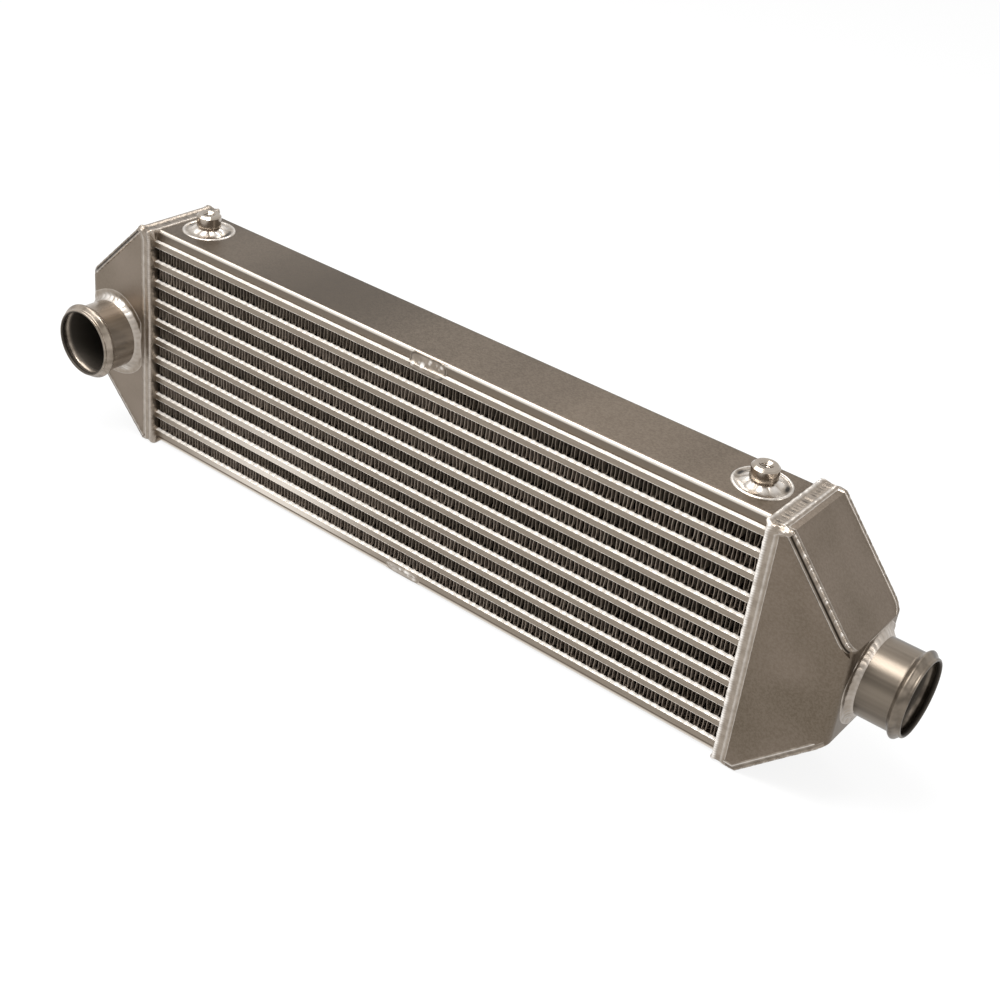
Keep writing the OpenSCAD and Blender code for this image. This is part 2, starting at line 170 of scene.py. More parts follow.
def tangents(path):
    """Unit direction of a path of points [n, k] at each point."""
    step = np.gradient(path, axis=0)
    return step / np.linalg.norm(step, axis=1, keepdims=True)


# Materials


def linear(colour):
    """sRGB hex colour as linear red, green, blue and alpha."""
    parts = [int(colour[i : i + 2], 16) / 255 for i in (1, 3, 5)]
    return [c / 12.92 if c < 0.04045 else ((c + 0.055) / 1.055) ** 2.4 for c in parts] + [1]


def add(tree, kind, *values, give=None, **settings):
    """Adds a node with its settings, and sets or links its inputs in their order; None leaves
    an input as it is. Gives the output of that name, or else the first one in use."""
    node = tree.nodes.new("ShaderNode" + kind)
    for key, value in settings.items():
        setattr(node, key, value)
    for socket, value in zip([s for s in node.inputs if s.enabled], values):
        if isinstance(value, bpy.types.NodeSocket):
            tree.links.new(value, socket)
        elif value is not None:
            socket.default_value = linear(value) if isinstance(value, str) else value
    return node.outputs[give] if give else next((s for s in node.outputs if s.enabled), None)


SMOOTH = {"interpolation_type": "SMOOTHSTEP"}
COLOUR = {"data_type": "RGBA"}


def empty_tree(owner):
    """Node tree of a material or a world, with nothing in it."""
    owner.use_nodes = True
    owner.node_tree.nodes.clear()
    return owner.node_tree


def new_material(name):
    """Empty material, its tree and the place on the part, in metres."""
    material = bpy.data.materials.new(name)
    tree = empty_tree(material)
    return material, tree, add(tree, "TexCoord", give="Object")


def away_from(tree, place, centre, weights):
    """Distance in metres from a centre given in millimetres, with each axis multiplied by its
    weight. A weight of 0 makes it the distance from a line along that axis."""
    away = add(tree, "VectorMath", place, list(centre * MM), operation="SUBTRACT")
    away = add(tree, "VectorMath", away, weights, operation="MULTIPLY")
    return add(tree, "VectorMath", away, operation="LENGTH")


# Rolled aluminium sheet, handled and wiped: a dull satin with broad soft clouds and a fine
# grain, drawn at 1.5 mm so that it shows. Marks may add to its tone.
def rolled_sheet(name, dark, light, cloud, stretch=(1, 1, 1), marks=None):
    material, tree, place = new_material(name)
    clouds = add(tree, "VectorMath", place, stretch, operation="DIVIDE")
    clouds = add(tree, "TexNoise", clouds, 1 / (cloud * MM), 1.0, 0.55)
    clouds = add(tree, "MapRange", clouds, 0.3, 0.7, **SMOOTH)
    grain = add(tree, "TexNoise", place, 1 / (1.5 * MM), 4.0, 0.7)
    tone = add(tree, "Mix", clouds, dark, light, **COLOUR)
    fine = add(tree, "MapRange", grain, 0.35, 0.65, 0.0, 0.16, **SMOOTH)
    tone = add(tree, "Mix", fine, tone, "#A3978A", **COLOUR)
    if marks:
        tone = marks(tree, place, tone)
    rough = add(tree, "MapRange", grain, 0.3, 0.7, 0.36, 0.46, **SMOOTH)
    relief = add(tree, "Bump", 1.0, 0.02 * MM, None, grain)
    shader = add(tree, "BsdfPrincipled", tone, 1.0, rough, None, None, relief)
    add(tree, "OutputMaterial", shader)
    return material


# The covers' sheet is darker in one broad patch; its flanges get painted shade and light by the
# way they face, a thin line of painted shade near the bars, and a painted highlight on the bends.
def cover_marks(node, flange_painted_tone, highlight_depth, gap_shade_depth):
    """Marks of a cover: its flanges' painted tone, and how far its painted highlight lies in
    from the bends and its line of painted shade in from the flanges' edges, in millimetres."""
    bend, edge = (corner[2] for corner in box_mm(node))
    if node == "top_cover":
        bend, edge = edge, bend
    inward = np.sign(edge - bend)
    highlight_height, gap_shade_height = bend + inward * highlight_depth, edge - inward * gap_shade_depth

    def marks(tree, place, tone):
        along = add(tree, "SeparateXYZ", place, give="X")
        away = add(tree, "Math", along, -105 * MM, operation="SUBTRACT")
        away = add(tree, "Math", away, operation="ABSOLUTE")
        # A broad darker patch along the cover, centred at x = -105 mm
        dark_patch = add(tree, "MapRange", away, 90 * MM, 10 * MM, 0.0, 0.6, **SMOOTH)
        tone = add(tree, "Mix", dark_patch, tone, "#443B31", **COLOUR)
        # Painted shade and light: flanges facing front or back get their own tone for how they
        # catch light
        facing = add(tree, "NewGeometry", give="Normal")
        facing = add(tree, "SeparateXYZ", facing, give="Y")
        facing = add(tree, "Math", facing, operation="ABSOLUTE")
        painted_flange_mask = add(tree, "MapRange", facing, 0.7, 1.0, **SMOOTH)
        tone = add(tree, "Mix", painted_flange_mask, tone, flange_painted_tone, **COLOUR)
        # Painted shade: a thin dark line on the flange by the bars, where the step lies in shadow
        height = add(tree, "SeparateXYZ", place, give="Z")
        gap = add(tree, "Math", height, gap_shade_height * MM, operation="SUBTRACT")
        gap = add(tree, "Math", gap, operation="ABSOLUTE")
        gap_shade = add(tree, "MapRange", gap, 1.1 * MM, 0.3 * MM, 0.0, 0.9, **SMOOTH)
        tone = add(tree, "Mix", gap_shade, tone, "#5E5449", **COLOUR)
        # Painted highlight: a pale line along the bend, where it catches the lamp
        gap = add(tree, "Math", height, highlight_height * MM, operation="SUBTRACT")
        gap = add(tree, "Math", gap, operation="ABSOLUTE")
        line = add(tree, "MapRange", gap, 1.6 * MM, 0.3 * MM, **SMOOTH)
        on_bend = add(tree, "MapRange", facing, 0.15, 0.7, **SMOOTH)
        line = add(tree, "Math", line, on_bend, operation="MULTIPLY")
        return add(tree, "Mix", line, tone, "#DCD4CA", **COLOUR)

    return marks


# Extruded bar and parting sheet out of the brazing furnace: a dull face with streaks drawn
# lengthways, paler towards the front of the lower left in a painted reflection of the light.
def brazed_bar():
    material, tree, place = new_material("brazed_aluminium_bar")
    drawn = add(tree, "VectorMath", place, (30, 1, 1), operation="DIVIDE")
    drawn = add(tree, "TexNoise", drawn, 1 / (0.8 * MM), 3.0, 0.55)
    tone = add(tree, "Mix", drawn, "#7A6F63", "#9D9285", **COLOUR)
    # Painted reflection: a broad pale patch towards the front of the lower left
    pale = away_from(tree, place, np.array([-125.0, -28.5, 15.0]), (1.0, 4.0, 1.5))
    pale = add(tree, "MapRange", pale, 125 * MM, 0.0, 0.0, 0.95, **SMOOTH)
    tone = add(tree, "Mix", pale, tone, "#E2D9CE", **COLOUR)
    rough = add(tree, "MapRange", drawn, 0.3, 0.7, 0.28, 0.42, **SMOOTH)
    relief = add(tree, "Bump", 1.0, 0.04 * MM, None, drawn)
    shader = add(tree, "BsdfPrincipled", tone, 1.0, rough, None, None, relief)
    add(tree, "OutputMaterial", shader)
    return material


# Brazing alloy that ran along the ledges and pooled at the fins: smooth and pale, its near-white
# tone partly the alloy's own and partly a painted highlight of the lit ledges.
def braze_alloy():
    material, tree, place = new_material("aluminium_braze_alloy")
    pools = add(tree, "TexNoise", place, 1 / (2.5 * MM), 3.0, 0.55)
    # Near white: partly the alloy's tone, partly a painted highlight of the ledges
    tone = add(tree, "Mix", pools, "#D6CEC4", "#F8F3EC", **COLOUR)
    rough = add(tree, "MapRange", pools, 0.3, 0.7, 0.35, 0.5, **SMOOTH)
    add(tree, "OutputMaterial", add(tree, "BsdfPrincipled", tone, 0.4, rough))
    return material


# Thin fin strip, drawn and folded, dulled by the brazing.
def fin_strip(name, dark, light):
    material, tree, place = new_material(name)
    patches = add(tree, "TexNoise", place, 1 / (9.0 * MM), 3.0, 0.55)
    patches = add(tree, "MapRange", patches, 0.3, 0.7, **SMOOTH)
    tone = add(tree, "Mix", patches, dark, light, **COLOUR)
    rough = add(tree, "MapRange", patches, 0.0, 1.0, 0.35, 0.5)
    add(tree, "OutputMaterial", add(tree, "BsdfPrincipled", tone, 0.4, rough))
    return material


# Weld metal as it froze: grey and patchy, with painted highlights on its crests, and painted
# shade in its hollows and a few darker patches, where the mesh says so.
def weld_metal(name, dark, light, smooth, dull):
    material, tree, place = new_material(name)
    painted_light_and_dark = add(tree, "Attribute", attribute_name="painted_light_and_dark", give="Fac")
    patches = add(tree, "TexNoise", place, 1 / (5.0 * MM), 2.0, 0.55)
    patches = add(tree, "MapRange", patches, 0.3, 0.7, **SMOOTH)
    tone = add(tree, "Mix", patches, dark, light, **COLOUR)
    # Painted highlight towards near white, painted shade and darker patches towards near black
    tone = add(tree, "Mix", painted_light_and_dark, tone, "#FBF6F0", **COLOUR)
    darkening = add(tree, "MapRange", painted_light_and_dark, 0.0, -1.0, **SMOOTH)
    tone = add(tree, "Mix", darkening, tone, "#2B251F", **COLOUR)
    rough = add(tree, "MapRange", patches, 0.0, 1.0, smooth, dull)
    add(tree, "OutputMaterial", add(tree, "BsdfPrincipled", tone, 1.0, rough))
    return material


# Drawn tube, polished along its length by sliding hoses: satin streaks along the axis, and
# a dull bore, darkened with painted shade.
def drawn_tube(name, centre, along, dark, light, smooth):
    material, tree, place = new_material(name)
    away = away_from(tree, place, centre, [0 if axis == along else 1 for axis in range(3)])
    bore = add(tree, "MapRange", away, 25.0 * MM, 23.9 * MM, **SMOOTH)
    stretch = [60 if axis == along else 1 for axis in range(3)]
    streaks = add(tree, "VectorMath", place, stretch, operation="DIVIDE")
    streaks = add(tree, "TexNoise", streaks, 1 / (9.0 * MM), 2.0, 0.55)
    streaks = add(tree, "MapRange", streaks, 0.3, 0.7, **SMOOTH)
    outside = add(tree, "Math", 1.0, bore, operation="SUBTRACT")
    streaks = add(tree, "Math", streaks, outside, operation="MULTIPLY")
    tone = add(tree, "Mix", streaks, dark, light, **COLOUR)
    # Painted shade inside the bore
    tone = add(tree, "Mix", bore, tone, "#443E37", **COLOUR)
    rough = add(tree, "MapRange", streaks, 0.0, 1.0, smooth, smooth + 0.07)
    rough = add(tree, "Math", rough, add(tree, "Math", bore, 0.55, operation="MULTIPLY"),
                operation="MAXIMUM")
    add(tree, "OutputMaterial", add(tree, "BsdfPrincipled", tone, 0.7, rough))
    return material


# Turned boss, bright from the tool, with fine rings, and painted shade in its threaded hole.
def turned_boss(name, centre):
    material, tree, place = new_material(name)
    rings = add(tree, "VectorMath", place, (30, 30, 1), operation="DIVIDE")
    rings = add(tree, "TexNoise", rings, 1 / (0.6 * MM), 2.0, 0.55)
    tone = add(tree, "Mix", rings, "#8A7F73", "#BDB3A7", **COLOUR)
    away = away_from(tree, place, centre, (1, 1, 0))
    hole = add(tree, "MapRange", away, 3.4 * MM, 2.5 * MM, **SMOOTH)
    # Painted shade in the threaded hole
    tone = add(tree, "Mix", hole, tone, "#2E2822", **COLOUR)
    relief = add(tree, "Bump", 1.0, 0.02 * MM, None, rings)
    shader = add(tree, "BsdfPrincipled", tone, 1.0, 0.16, None, None, relief)
    add(tree, "OutputMaterial", shader)
    return material


# One rolled sheet in two copies: painted light on the inlet tank, painted shade on the outlet
tank_sheet_lit_and_shaded = {"inlet": rolled_sheet("satin_aluminium_inlet_tank", "#776C5F", "#867A6E", 45),
              "outlet": rolled_sheet("satin_aluminium_outlet_tank", "#63584B", "#72665A", 45)}
sheet_cover = {
    node: rolled_sheet("satin_aluminium_" + node, "#4B4136", "#5A4F43", 70, (1, 5, 5),
                       cover_marks(node, *look))
    for node, *look in (("top_cover", "#71675C", 1.4, 0.6), ("bottom_cover", "#A3978A", 1.6, 2.3))}
bar_metal = brazed_bar()
braze = braze_alloy()
# Two copies of one fin metal; the offset rows' copy is lighter, painted light for those rows
fin_dull = fin_strip("drawn_aluminium_fin", "#62584D", "#7A6F63")
fin_painted_light = fin_strip("drawn_aluminium_fin_painted_light", "#6F6358", "#8B7F73")
band_metal = weld_metal("band_weld_aluminium", "#8B8074", "#9E9387", 0.3, 0.4)
seam_metal = weld_metal("seam_weld_aluminium", "#776C60", "#958A7E", 0.26, 0.38)
bead_metal = weld_metal("bead_weld_aluminium", "#8A7F73", "#B4AA9E", 0.2, 0.32)

# Core

passage_low = box_mm("charge_passage_01")[0]
passage_high = box_mm(max(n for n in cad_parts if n.startswith("charge_passage")))[1]


def fin_grid(node, thick, front, rear, late=0.0):
    """Serpentine strip. Its middle line is a wall and two round bends in each half wave,
    each wall a little out of place, leaning and bulged. The line moved by half the thickness
    either way gives the two sides, and both are carried from front to rear, which are depths
    behind the fin's front. A strip that is late lies further along the core."""
    low, high = box_mm(node)
    low, high = low + [late, 0, 0], high + [late, 0, 0]
    half = FIN_PITCH / 2
    count = 2 * round((high[0] - low[0]) / FIN_PITCH)
    rise = high[2] - low[2] - thick
    bend = 0.95  # radius of the middle line in a fold
    turn = np.radians([0, 45, 90])
    x = np.concatenate([[0], half / 2 - bend + bend * np.sin(turn), [half / 2],
                        half / 2 + bend - bend * np.cos(turn)])
    z = np.concatenate([[-rise / 2], -rise / 2 + bend - bend * np.cos(turn), [0],
                        rise / 2 - bend + bend * np.sin(turn)])
    wave = np.arange(count)[:, None]
    upward = np.where(wave % 2 == 0, 1, -1)
    share = 2 * z / rise
    held = np.minimum(1, 4 * np.minimum(x, half - x) / half)
    spread = np.reshape([0.16, 0.24, 0.26], (3, 1, 1))  # of the shift, lean and bulge, in mm
    shift, lean, bulge = spread * rng.normal(0, 1, (3, count, 1))
    line_x = low[0] + wave * half + x + held * (shift + lean * share + bulge * (1 - share**2))
    line_z = (low[2] + high[2]) / 2 + upward * z
    line = np.stack([line_x.ravel(), line_z.ravel()], -1)
    way = tangents(line)
    side = np.stack([-way[:, 1], way[:, 0]], -1) * thick / 2
    front = low[1] + front + 0.3 * wobble(line[:, 0], 9)
    rear = np.full(len(line), low[1] + rear)
    corners = [(line + side, front), (line + side, rear), (line - side, rear),
               (line - side, front)]
    return np.stack([np.stack([p[:, 0], y, p[:, 1]], -1) for p, y in corners], 1)


# Every second row from the top down is offset strip: its middle part lies a quarter pitch
# along from the parts before and behind it. The strip is drawn a little thicker than the CAD
# node's 0.3 mm, so that it shows.
fin_nodes = sorted(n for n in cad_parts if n.startswith("ambient_fin"))
for row, node in enumerate(reversed(fin_nodes)):
    low, high = box_mm(node)
    depth = high[1] - low[1]
    if row % 2 == 0:
        strips, metal = [fin_grid(node, 0.34, 0, depth)], fin_dull
    else:
        outer, inner, late = 3.2, 3.4, FIN_PITCH / 4
        strips = [fin_grid(node, 0.4, 0, outer), fin_grid(node, 0.4, inner, depth - inner, late),
                  fin_grid(node, 0.4, depth - outer, depth)]
        metal = fin_painted_light
    dress(surface(node + "_strip", strips, 30), metal, "fin_strip", node)


def ledge_grid(x, edge_z, way, side, pool):
    """Brazing alloy along the edge of a bar: a low fillet from the bar's rounded edge up to
    the sheet behind it, way 1 on a bar's upper edge and -1 on its lower edge. Pool, from 0 to
    1 for each x, is how far it swells."""
    pool = pool[:, None]
    proud = 1.0 if way > 0 else 0.4  # a bar's lower edge shows less alloy
    y = (np.array([-0.12 * proud, -0.24 * proud, 0.35, 1.4, 2.2, 2.2])
         + np.array([0, 0, 0, -0.35, 0, 0]) * pool)
    z = (np.array([-0.4, -0.2, 0.06, 0.1, 0.2, -0.2]) * proud
         + np.array([-0.15, 0, 0.1, 0.3, 0.5, 0]) * pool)
    y = (passage_low[1] + y) * side
    return np.stack([x[:, None] + 0 * y, y, edge_z + way * z], -1)


# The alloy pools once in each pitch, where the strip's fold meets the bar: in one phase along
# the lower sheet of a row, in another and fainter along the upper sheet.
for node in fin_nodes:
    low, high = box_mm(node)
    x = np.arange(low[0] - 2, high[0] + 2, FIN_PITCH / 8)
    grids = []
    for side in (1, -1):
        for way, edge_z, late, most in ((1, low[2], 0.16, 0.75), (-1, high[2], 0.66, 0.3)):
            foot = (x - low[0]) / FIN_PITCH + 0.04 * rng.normal(0, 1, len(x))
            pool = np.clip(np.sin(2 * math.pi * (foot + late)), 0, 1) ** 0.7
            pool = 0.2 + most * pool + 0.1 * wobble(x, 15)
            grids.append(ledge_grid(x, edge_z, way, side, pool))
    dress(surface(node + "_braze", grids, 60), braze, "brazed_bar")
grids = [ledge_grid(x, passage_high[2], 1, side, 0.3 + 0.2 * wobble(x, 18))
         for side in (1, -1)]
dress(surface("cover_braze", grids, 60), braze, "brazed_bar")

# Weld bands


def plate_line(name, upper):
    """Where a plate bends and where it ends, as points in X and Z, found on its own mesh."""
    points = vertices_mm(f"{name}_{'top' if upper else 'bottom'}_plate")
    face = points[:, 2] if upper else -points[:, 2]
    away = np.abs(points[:, 0])
    edge = face.max()
    neck = away[face > edge - 0.01].max()
    end = away.max()
    lip = face[away > end - 0.01].max()
    sign = 1 if upper else -1
    return np.array([neck, edge * sign]), np.array([end, lip * sign])


def ring_path(low, high, radius, step):
    """Points and outward directions round a rectangle in Y and Z with round corners, and the
    length run so far."""
    centre = (low + high) / 2
    half = (high - low) / 2
    inner = half - radius
    points, out = [], []
    for k in range(4):
        turn = math.pi / 2 * k
        facing = np.array([math.cos(turn), math.sin(turn)])
        ahead = np.array([math.cos(turn + math.pi / 2), math.sin(turn + math.pi / 2)])
        angle = np.linspace(turn, turn + math.pi / 2, 7)[:-1]
        arc = np.stack([np.cos(angle), np.sin(angle)], -1)
        start = (ahead + facing) * inner + radius * ahead
        stop = (ahead - facing) * inner + radius * ahead
        steps = np.arange(0, 1, step / np.linalg.norm(stop - start))[:, None]
        run = start + (stop - start) * steps
        points += [(ahead + facing) * inner + radius * arc, run]
        out += [arc, np.tile(ahead, (len(run), 1))]
    points = np.concatenate(points) + centre
    out = np.concatenate(out)
    length = np.concatenate([[0], np.cumsum(np.linalg.norm(np.diff(points, axis=0), axis=1))])
    return points, out, length


def band_grid(name, opening, tank_side):
    """Weld band carried round the core's end. Across it lie a proud ridge on the core's side,
    a hollow field, a low ridge and the tank's side. The field has ripples that bow forward in
    its middle, fine up the front and rear and broad over the top and underside, where the band
    is wider. The upper corners carry a knot of weld."""
    low, high = box_mm(name + "_core_weld")
    points, out, length = ring_path(low[1:], high[1:], BAND_RADIUS, 0.32)
    flat = out[:, 1:2] ** 2  # 1 over the top and underside, 0 up the front and rear
    v = np.linspace(0, 1, 29)
    fine_step, broad_step = 1.75, 3.4  # the ripples' spacing
    front = (0.95 * hump(v, 0.13, 0.13) + 0.42 * hump(v, 0.7, 0.1) + 0.1 * hump(v, 0.95, 0.06)
             + 0.15)
    over = 0.75 * hump(v, 0.12, 0.12) + 0.85 * hump(v, 0.82, 0.13) + 0.3
    field_front, field_over = hump(v, 0.4, 0.24), hump(v, 0.47, 0.22)
    travel = length[:, None] + 0.2 * wobble(length, 12)[:, None]
    fine = np.abs(np.sin(math.pi * (travel + 5.0 * (v - 0.4) ** 2) / fine_step))
    broad = np.abs(np.sin(math.pi * (travel + 9.0 * (v - 0.47) ** 2) / broad_step)) ** 0.8
    height = (1 - flat) * (front + 0.09 * fine * (0.4 + field_front))
    height = height + flat * (over + 0.1 * broad * field_over)
    height = height + (0.1 + 0.1 * flat) * wobble(length, 8)[:, None]
    edge = np.clip(np.minimum(v, 1 - v) / 0.04, 0, 1) ** 0.5
    knot = hump(points[:, 1:2], high[2] - 2, 4.5) * hump(np.abs(points[:, :1]), high[1] - 1, 4.0)
    lumps = np.abs(np.sin(1.3 * length[:, None] + 5 * v) * np.cos(7 * v + 0.6 * length[:, None]))
    top = (height + knot * (0.4 + 0.7 * lumps)) * edge - 1.0
    outer = points[:, None, :] + out[:, None, :] * top[..., None]
    neck = plate_line(name, True)[0][0]
    ends = np.sort(np.abs([low[0], high[0]]))
    wide = [1.7, min(2.9, neck - 0.5 - ends[1])]  # how much wider it is above and below
    start = ends[0] - wide[0] * flat + 0.2 * wobble(length, 6)[:, None]
    stop = ends[1] + wide[1] * flat + 0.2 * wobble(length, 6)[:, None]
    stop = np.maximum(stop, ends[1] + 1.8 + min(6.5, neck - ends[1]) * (2 * knot - 1))
    x = (start + (stop - start) * v) * tank_side
    grid = np.concatenate([x[..., None], outer], -1)
    hole = np.clip(points, opening[0], opening[1])
    lips = [np.column_stack([np.full(len(hole), end * tank_side), hole]) for end in ends[::-1]]
    # The outlet band's crests are painted lit, the inlet's darker
    crest, over_crest = (1.0, 1.0) if name == "outlet" else (0.25, 0.3)
    # Painted highlights on ridges and toes, painted shade in the hollow field and ripple troughs
    painted_light_and_dark = (1 - flat) * (crest * (0.7 + 0.5 * fine) * hump(v, 0.13, 0.12)
                          + 0.3 * hump(v, 0.7, 0.08)
                          + 0.25 * hump(v, 0.97, 0.03) - 0.12 * (1 - fine) * field_front)
    painted_light_and_dark = painted_light_and_dark + flat * (over_crest * (0.6 * hump(v, 0.1, 0.12) + 0.5 * hump(v, 0.78, 0.08)
                                          + 0.4 * hump(v, 0.97, 0.03))
                            - 0.3 * hump(v, 0.9, 0.03)
                            - (0.35 + 0.35 * (1 - broad)) * field_over)
    # Painted highlights on the knot's lumps, painted shade between them
    painted_light_and_dark = painted_light_and_dark * (0.85 + 0.4 * wobble(length, 9)[:, None]) + 0.35 * knot * (lumps - 0.6)
    painted_light_and_dark = np.hstack([painted_light_and_dark, np.zeros((len(points), 2))])
    return np.concatenate([grid, np.stack(lips, 1)], 1), painted_light_and_dark


opening = (passage_low[1:], passage_high[1:])
for name, side in (("inlet", -1), ("outlet", 1)):
    node = name + "_core_weld"
    grid, painted_light_and_dark = band_grid(name, opening, side)
    piece = surface(node + "_ripples", [grid], 40, ring=True, painted_light_and_dark=[painted_light_and_dark])
    dress(piece, band_metal, "weld_metal", node)

# Seam beads


def corner_drop(past):
    """How far the face of a wrap sheet has fallen back at a distance past the place where its
    round corner begins."""
    past = np.clip(past, 0, WRAP_RADIUS)
    return WRAP_RADIUS - np.sqrt(WRAP_RADIUS**2 - past**2)


def seam_grid(name, upper, front):
    """Weld along the corner of a plate and the wrap sheet. Its section runs round the corner
    at a radius with four humps: a toe on the wrap, a groove, the rippled bead and a toe on the
    plate. It starts under the weld band, follows the wrap's round corner and ends in a round
    tip."""
    neck, end = plate_line(name, upper)
    side = -1 if name == "inlet" else 1
    low, high = box_mm(f"{name}_core_weld")
    depth = box_mm(f"{name}_wrap")[1][1]
    start = np.abs([low[0], high[0]]).max() - 1.0
    tip = 1.8
    stop = end[0] - 0.15
    x = np.arange(start, stop, 0.33)
    x = np.append(x, stop)[:, None]
    sign = 1 if upper else -1
    slope = math.atan2((neck[1] - end[1]) * sign, end[0] - neck[0])
    lean = slope / (1 + np.exp(-(x - neck[0]) / 0.6))
    fall = np.maximum(0, x - neck[0]) * math.tan(slope)
    a = np.linspace(-31, 121, 27)  # degrees round the corner, from the wrap to the plate
    turn = np.radians(a)
    run = x - start
    travel = run + 0.9 * wobble(run[:, 0], 9)[:, None]
    drops = np.abs(np.cos(math.pi * (travel - 0.05 * np.abs(a - 62)) / 1.9))
    bead = hump(a, 62, 21)
    shape = (0.5 * bead * (0.8 + 0.3 * drops) + 0.34 * hump(a, -8, 6) + 0.3 * hump(a, 106, 6)
             - 0.42 * hump(a, 24, 13))
    loose = 0.1 * wobble(run[:, 0], 5)[:, None]
    close = np.sqrt(np.clip(1 - ((x - stop + tip) / tip) ** 2, 0, 1) * (x > stop - tip)
                    + (x <= stop - tip))
    radius = SHEET - 0.06 + (0.44 + shape + loose) * close
    inner = np.full((len(x), 1), 0.9 * SHEET)
    p = np.hstack([radius * np.cos(turn), np.zeros((len(x), 2)), inner])
    q = np.hstack([radius * np.sin(turn), inner, np.zeros((len(x), 2))])
    # Painted highlights on the drops and toes; painted shade in the groove, deeper on upper seams
    groove_shade = 1.0 if upper else 0.4
    bright = np.clip(0.35 + 1.6 * wobble(run[:, 0], 4)[:, None], 0, 1)
    painted_light_and_dark = (bead * (0.02 + 0.55 * drops**2 * bright) + 0.5 * hump(a, -8, 5)
             + 0.35 * hump(a, 106, 5) - 1.1 * groove_shade * hump(a, 22, 14)
             - 0.35 * groove_shade * (1 - bright * drops) * hump(a, 84, 10)) * close
    painted_light_and_dark = np.hstack([painted_light_and_dark, np.zeros((len(x), 3))])
    u = q - SHEET
    along = x + u * np.sin(lean)
    height = neck[1] * sign - fall + u * np.cos(lean)
    y = (depth - SHEET + p - corner_drop(x - end[0] + WRAP_RADIUS)) * (-1 if front else 1)
    return np.stack([along * side, y, height * sign], -1), painted_light_and_dark


for name in ("inlet", "outlet"):
    for upper in (True, False):
        node = f"{name}_{'top' if upper else 'bottom'}_seams"
        grids, painted_light_and_dark = zip(*[seam_grid(name, upper, front) for front in (True, False)])
        piece = surface(node + "_ripples", grids, 50, painted_light_and_dark=painted_light_and_dark)
        dress(piece, seam_metal, "weld_metal", node)

# Pipes


def pipe_grid(name):
    """Hose pipe: its section, an outer wall with a rolled bead near the rim and a bore that
    follows it, turned about the pipe's own axis. The bead's swell is a cosine to a power, and
    the rim is round."""
    low, high = box_mm(name + "_pipe")
    outlet = name == "outlet"
    radius = (high[2] - low[2]) / 2 - PIPE_BEAD
    bore = radius - PIPE_WALL
    middle = (low + high) / 2
    start, stop = (low[0], high[0]) if outlet else (-high[1], -low[1])
    crest, half = stop - 5.5, 3.4
    bead = np.linspace(crest - half, crest + half, 19)
    share = np.clip((bead - crest) / half, -1, 1)
    swell = PIPE_BEAD * np.cos(share * math.pi / 2) ** 1.3
    rim = np.linspace(-1, 1, 7)[1:-1] * math.pi / 2
    along = np.concatenate([[start], np.linspace(start + 1, bead[0] - 1, 6), bead,
                            [stop - 1.2, stop - 1], stop - 1 + np.cos(rim),
                            [stop - 1, stop - 1.2], bead[::-1], [start + 3, start]])
    away = np.concatenate([[radius] * 7, radius + swell, [radius] * 2, radius - 1 - np.sin(rim),
                           [bore] * 2, bore + 0.8 * swell[::-1], [bore] * 2])
    angle = np.linspace(0, 2 * math.pi, 145)[:-1, None]
    first, up = away * np.cos(angle), middle[2] + away * np.sin(angle)
    along = along + 0 * angle
    if outlet:
        return np.stack([along, middle[1] + first, up], -1)
    return np.stack([middle[0] + first, -along, up], -1)


# One drawn tube in two copies: painted light on the inlet pipe, painted shade on the outlet
for name, along, *look in (("inlet", 1, "#675D51", "#958A7E", 0.2),
                           ("outlet", 0, "#453D34", "#756B5F", 0.3)):
    node = name + "_pipe"
    low, high = box_mm(node)
    material = drawn_tube(node + "_drawn_aluminium", (low + high) / 2, along, *look)
    piece = surface(node + "_drawn", [pipe_grid(name)], 60, ring=True)
    dress(piece, material, "turned_tube", node)

# Pipe welds


